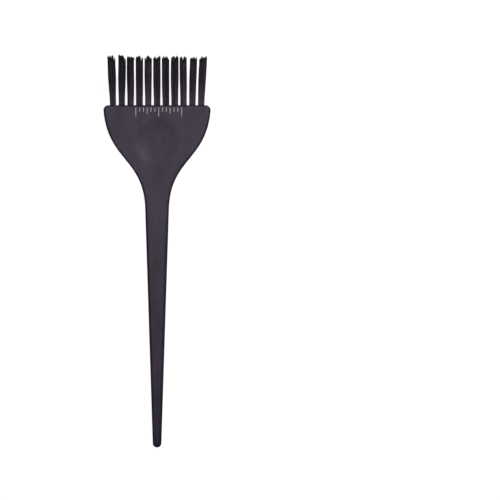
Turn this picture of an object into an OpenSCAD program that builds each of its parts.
// Tint brush for hair colour. One flat moulding is both the paddle head and the long tail.
// A single row of nylon tufts stands in the edge of the head. Each tuft is folded over a
// flat wire anchor and punched into a blind hole of its own, where the anchor's two ends
// bite into the plastic.
// Lengths are in millimetres. The brush lies flat: length along Y with the tufts at +Y,
// width along X, thickness along Z, and the origin under the middle of its whole length.

/* [Handle] */
// Length of the moulding, from the tip of the tail to the edge that holds the tufts
handle_len = 188.5; // [150:0.5:230]
// Half the width of the head where it is widest, just below the tufts
head_half_w = 29.5; // [20:0.1:36]
// Thickness of the head
head_t = 6; // [5:0.1:8]
// Thickness of the tail close to its tip
tail_t = 4.2; // [3:0.1:6]
// Half the width where the flank of the head meets the straight neck
neck_half_w = 6.5; // [5:0.1:9]
// Distance from the tufted edge to that point
neck_at = 57; // [45:0.5:75]
// Half the width of the tail where its rounded tip begins
tail_half_w = 2.35; // [1.8:0.05:4]
// Radius of the two top corners of the head, seen from above
corner_r = 2.8; // [1:0.1:6]
// Radius of the rounding along the sides of the head
side_r = 1.3; // [0.8:0.1:2.6]
// How far the rounding of the sides reaches across the tail: 0 as on the head, 1 to its middle
tail_round = 0.15; // [0:0.05:0.9]
// Radius of the rounding around the tufted edge
edge_r = 1; // [0.2:0.1:1]

/* [Thumb dish] */
// Distance from the tufted edge to the middle of the dish, on each face
dish_at = 20.5; // [16:0.5:28]
// Radius of the dish
dish_r = 12; // [8:0.5:13]
// Depth of the dish
dish_depth = 0.8; // [0.3:0.1:1.2]

/* [Tufts] */
// Number of tufts in the row
tuft_n = 11; // [5:1:11]
// Distance between neighbouring holes
pitch = 4.86; // [4.2:0.02:5]
// Diameter of a hole
hole_d = 3.3; // [2.4:0.05:3.6]
// Depth of a hole, without the cone the drill leaves
hole_depth = 7.5; // [5:0.1:10]
// Length of a tuft outside its hole
tuft_len = 26.3; // [15:0.1:40]
// Diameter of a tuft where it leaves its hole
tuft_base_d = 3.3; // [2.4:0.05:3.6]
// Diameter of a tuft where it is thickest, close to its end
tuft_top_d = 3.95; // [2.6:0.05:4.4]
// Sideways shift of each tuft's end, from the first tuft at -X to the last
tuft_lean = [-1, 0.05, -0.15, -0.05, -0.05, -0.15, -0.3, -0.05, -0.25, 0.7, 1.2];
// Extra length of each tuft
tuft_extra = [0.2, 0, 0.2, 0, 0.1, 0, 0.2, 0.1, -0.1, -0.3, -0.1];

/* [Anchors] */
// Length of an anchor across its hole, longer than the hole is wide
anchor_l = 3.7; // [3:0.05:4.2]
// Height of an anchor along its hole
anchor_h = 1.8; // [1:0.1:2.5]
// Thickness of the wire
anchor_t = 0.35; // [0.25:0.05:0.5]
// Depth of an anchor's lower edge in its hole
anchor_at = 6.4; // [4:0.1:9]

/* [Hidden] */
$fn = 48;
mid_z = head_t / 2;
// The edge that holds the tufts. The tufts and the moulding together are centred on Y = 0.
mouth_y = (handle_len - tuft_len - 0.2) / 2;
dish_sphere_r = (dish_r * dish_r + dish_depth * dish_depth) / (2 * dish_depth);
taper = (neck_half_w - tail_half_w) / (handle_len - neck_at - tail_half_w);
// A tuft turns about the axis of its round foot, just outside the hole.
gap = 0.15;
foot_r = tuft_base_d / 2 + 0.15;
pivot_y = mouth_y + gap + foot_r;
root_clear = 0.04;

// The head's flank is one Bezier curve from just below the corner to the neck.
// Points are [distance from the tufted edge, half width].
flank = [
    [2.5, head_half_w],
    [2.5 + 28, head_half_w - 2.2],
    [neck_at - 28, neck_half_w + 28 * taper],
    [neck_at, neck_half_w]
];
function bezier(p, t) = pow(1 - t, 3) * p[0] + 3 * pow(1 - t, 2) * t * p[1]
    + 3 * (1 - t) * t * t * p[2] + pow(t, 3) * p[3];
function ease(t) = let (c = min(1, max(0, t))) c * c * (3 - 2 * c);
function round_in(r, d) = d >= r ? 0 : r - sqrt(r * r - (r - d) * (r - d));
function half_t(d) = head_t / 2 - (head_t - tail_t) / 2 * ease((d - 60) / 120);

// Stations along the moulding, as [distance from the tufted edge, half width].
corner_n = 9;
flank_n = 34;
tail_n = 12;
tip_n = 9;
tip_from = handle_len - tail_half_w;
stations = concat(
    [for (i = [0:corner_n])
        let (d = corner_r * (1 - cos(90 * i / corner_n)))
        [d, head_half_w - round_in(corner_r, d)]],
    [for (i = [1:flank_n]) bezier(flank, i / flank_n)],
    [for (i = [1:tail_n])
        let (d = neck_at + (tip_from - neck_at) * i / tail_n)
        [d, neck_half_w - taper * (d - neck_at)]],
    [for (i = [1:tip_n])
        let (a = 86 * i / tip_n)
        [tip_from + tail_half_w * sin(a), tail_half_w * cos(a)]]
);

// One cross-section: a rectangle with rounded corners, as points around the middle plane.
ring_k = 6;
ring_n = 4 * (ring_k + 1);
function thick(d) = (half_t(d) - round_in(edge_r, d))
    * (d > tip_from ? sqrt(max(0, 1 - pow((d - tip_from) / tail_half_w, 2))) : 1);
function ring(s) = let (
        w = s[1],
        t = thick(s[0]),
        k = ease((s[0] - 40) / 45),
        rx = min(side_r + (w - side_r) * tail_round * k, 0.92 * w),
        rz = min(side_r, 0.92 * t)
    ) [for (q = [0:3], i = [0:ring_k])
        let (
            a = 90 * q + 90 * i / ring_k,
            sx = (q == 0 || q == 3) ? 1 : -1,
            sz = q < 2 ? 1 : -1
        ) [sx * (w - rx) + rx * cos(a), mouth_y - s[0], mid_z + sz * (t - rz) + rz * sin(a)]];

function skin(m, n) = concat(
    [for (j = [1:n - 2]) [0, j, j + 1]],
    [for (i = [0:m - 2], j = [0:n - 1])
        let (a = i * n + j, b = i * n + (j + 1) % n) [a, a + n, b]],
    [for (i = [0:m - 2], j = [0:n - 1])
        let (a = i * n + j, b = i * n + (j + 1) % n) [b, a + n, b + n]],
    [for (j = [1:n - 2]) [(m - 1) * n, (m - 1) * n + j + 1, (m - 1) * n + j]]
);

function tuft_x(i) = (i - (tuft_n + 1) / 2) * pitch;
function tuft_l(i) = tuft_len + tuft_extra[i - 1];

// The moulding: paddle head, neck and tail in one piece, with a row of blind holes.
module handle() {
    color([0.06, 0.05, 0.07])
    difference() {
        polyhedron(
            points = [for (s = stations) each ring(s)],
            faces = skin(len(stations), ring_n)
        );
        for (i = [1:tuft_n])
            translate([tuft_x(i), mouth_y, mid_z]) rotate([90, 0, 0]) hole();
        for (side = [-1, 1])
            translate([0, mouth_y - dish_at, mid_z + side * (head_t / 2 + dish_sphere_r - dish_depth)])
                sphere(r = dish_sphere_r);
    }
}

// A blind hole with the cone that a drill leaves, down from its mouth at the origin.
module hole() {
    translate([0, 0, -1]) cylinder(d = hole_d, h = hole_depth + 1);
    translate([0, 0, hole_depth - 0.01]) cylinder(d1 = hole_d, d2 = 0.4, h = 0.7);
}

// The free length of one tuft: a shaft that widens as the filaments spread, with a blunt
// end, and a foot rounded about the hinge axis, so that it can turn at the hole's mouth.
module tuft(i) {
    l = tuft_l(i) - gap - foot_r;
    color([0.03, 0.025, 0.035])
    translate([tuft_x(i), pivot_y, mid_z])
    intersection() {
        rotate([0, 0, -asin(tuft_lean[i - 1] / tuft_l(i))])
        rotate([-90, 0, 0]) {
            translate([0, 0, -2.5]) cylinder(d = tuft_base_d, h = 2.5);
            cylinder(d1 = tuft_base_d, d2 = tuft_top_d, h = l * 0.8);
            translate([0, 0, l * 0.8]) cylinder(d = tuft_top_d, h = l * 0.2 - 0.5);
            translate([0, 0, l - 0.5]) cylinder(d1 = tuft_top_d, d2 = tuft_top_d - 0.8, h = 0.5);
        }
        foot_and_above();
    }
}

// What a tuft may fill: a round bar about the hinge axis, and all that lies above the axis.
module foot_and_above() {
    rotate([90, 0, 90])
    linear_extrude(height = 8, center = true) {
        circle(r = foot_r);
        translate([0, -4]) square([tuft_len + 10, 8]);
    }
}

// The folded half of one tuft, packed in its hole around the anchor.
module tuft_root(i) {
    color([0.03, 0.025, 0.035])
    translate([tuft_x(i), mouth_y, mid_z])
    rotate([90, 0, 0])
    difference() {
        translate([0, 0, 0.02]) cylinder(d = hole_d - 2 * root_clear, h = hole_depth - 0.1);
        translate([-anchor_l, -anchor_t / 2 - 0.01, anchor_at - anchor_h - 0.01])
            cube([2 * anchor_l, anchor_t + 0.02, anchor_h + 0.02]);
    }
}

// One anchor: a short cut of flat wire, set across its hole, with its lower corners clipped.
module anchor(i) {
    color([0.72, 0.69, 0.6])
    translate([tuft_x(i), mouth_y - anchor_at, mid_z])
    linear_extrude(height = anchor_t, center = true)
    polygon([
        [-anchor_l / 2 + 0.3, 0], [anchor_l / 2 - 0.3, 0], [anchor_l / 2, 0.4],
        [anchor_l / 2, anchor_h], [-anchor_l / 2, anchor_h], [-anchor_l / 2, 0.4]
    ]);
}

handle();
tuft(1);  // tuft_01
tuft(2);  // tuft_02
tuft(3);  // tuft_03
tuft(4);  // tuft_04
tuft(5);  // tuft_05
tuft(6);  // tuft_06
tuft(7);  // tuft_07
tuft(8);  // tuft_08
tuft(9);  // tuft_09
tuft(10);  // tuft_10
tuft(11);  // tuft_11
tuft_root(1);  // tuft_root_01
tuft_root(2);  // tuft_root_02
tuft_root(3);  // tuft_root_03
tuft_root(4);  // tuft_root_04
tuft_root(5);  // tuft_root_05
tuft_root(6);  // tuft_root_06
tuft_root(7);  // tuft_root_07
tuft_root(8);  // tuft_root_08
tuft_root(9);  // tuft_root_09
tuft_root(10);  // tuft_root_10
tuft_root(11);  // tuft_root_11
anchor(1);  // anchor_01
anchor(2);  // anchor_02
anchor(3);  // anchor_03
anchor(4);  // anchor_04
anchor(5);  // anchor_05
anchor(6);  // anchor_06
anchor(7);  // anchor_07
anchor(8);  // anchor_08
anchor(9);  // anchor_09
anchor(10);  // anchor_10
anchor(11);  // anchor_11
